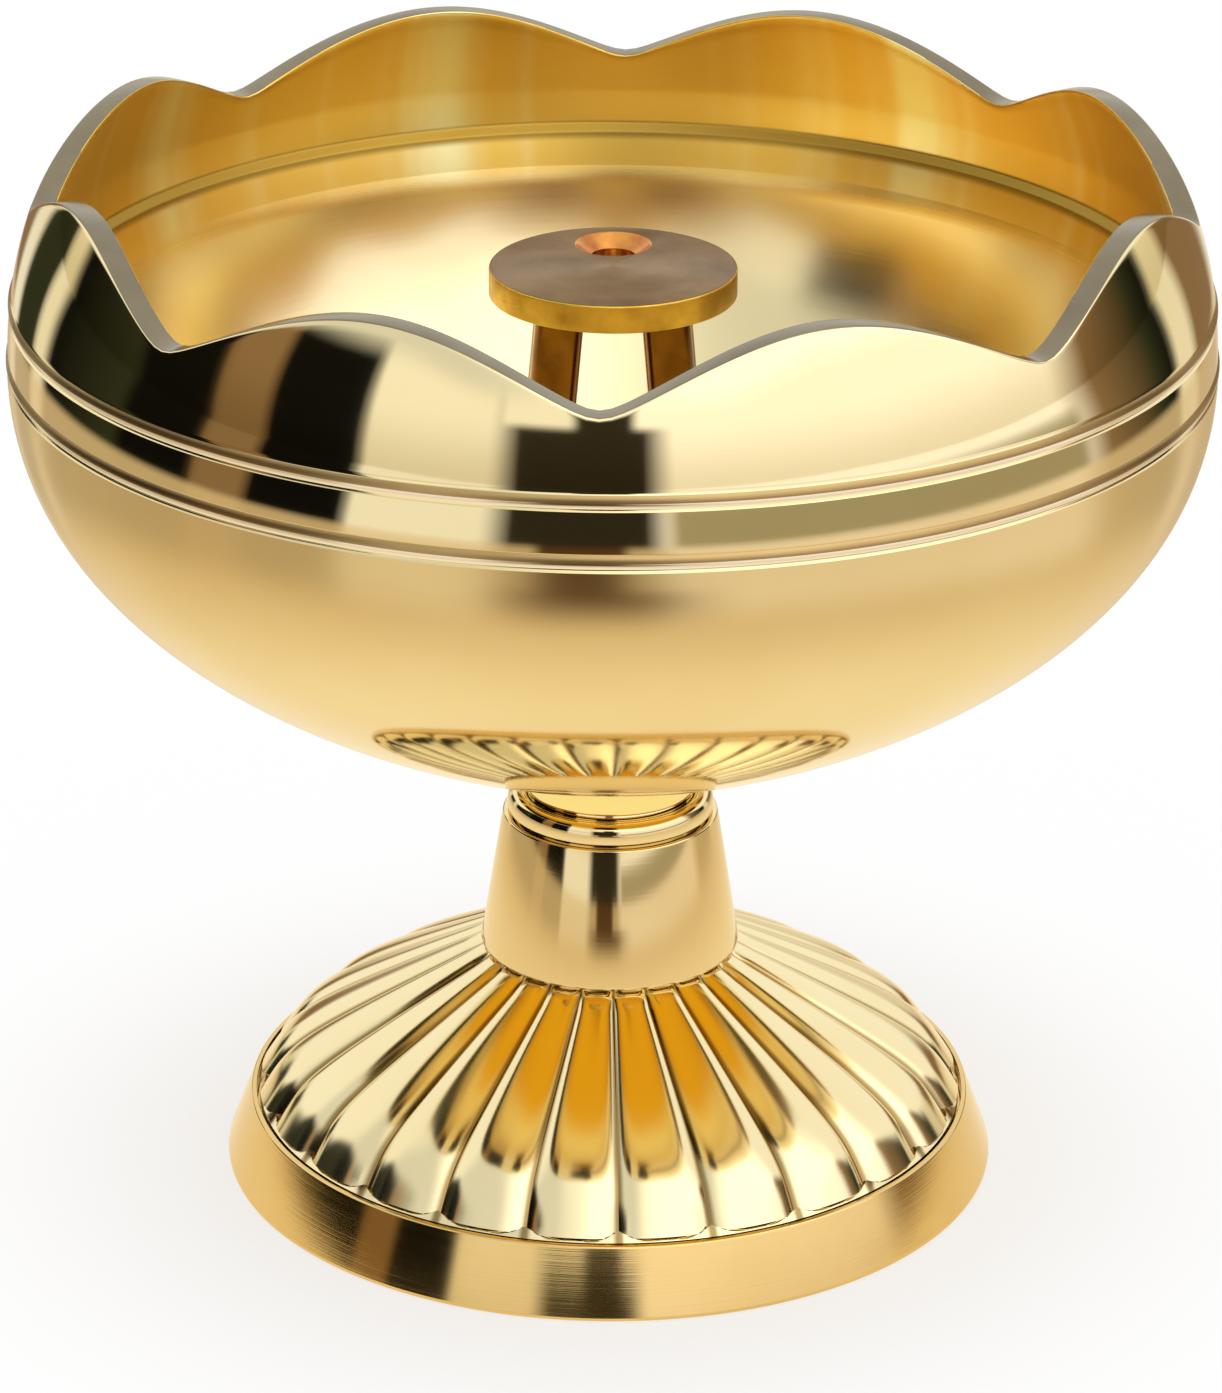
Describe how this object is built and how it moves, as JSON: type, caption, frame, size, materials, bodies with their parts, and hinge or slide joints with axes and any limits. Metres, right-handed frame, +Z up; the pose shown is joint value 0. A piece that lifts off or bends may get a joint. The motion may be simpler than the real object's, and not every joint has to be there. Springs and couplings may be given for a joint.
{
  "type": "pedestal oil lamp",
  "caption": "Brass oil lamp with a petal-rimmed bowl on a fluted pedestal and a lift-out wick stand inside.",
  "frame": {"origin": "centre of the foot ring's flat underside, on the surface that the lamp rests on", "axes": "+Z up along the turned axis of the pedestal and bowl, -Y towards the front, where the picture is taken from, +X to the right seen from the front"},
  "size_m": [0.119, 0.119, 0.1071],
  "materials": {
    "polished_brass": "mirror polished, turned and buffed",
    "satin_brass": "satin below the band, mirror polished on the petals and the band",
    "brushed_brass": "brushed round the ring",
    "aged_brass": "rough turned and tarnished",
    "zinc_steel": "zinc plated"
  },
  "bodies": {
    "pedestal": {"foot_ring": "brushed_brass", "fluted_dome": "polished_brass", "stem": "polished_brass", "neck_collar": "polished_brass", "tie_stud": "zinc_steel", "base_washer": "zinc_steel", "base_nut": "zinc_steel"},
    "bowl": {"lotus_bowl": "satin_brass"},
    "wick_stand": {"wick_plate": "aged_brass", "wick_leg_1": "aged_brass", "wick_leg_2": "aged_brass", "wick_leg_3": "aged_brass", "wick_leg_4": "aged_brass"}
  },
  "joints": [
    {"name": "bowl_turn", "type": "hinge", "parent": "pedestal", "child": "bowl", "pos_m": [0, 0, 0.0406], "axis": [0, 0, 1], "range_deg": [0, 90]},
    {"name": "wick_stand_lift", "type": "slide", "parent": "bowl", "child": "wick_stand", "axis": [0, 0, 1], "range_m": [0, 0.06]}
  ]
}
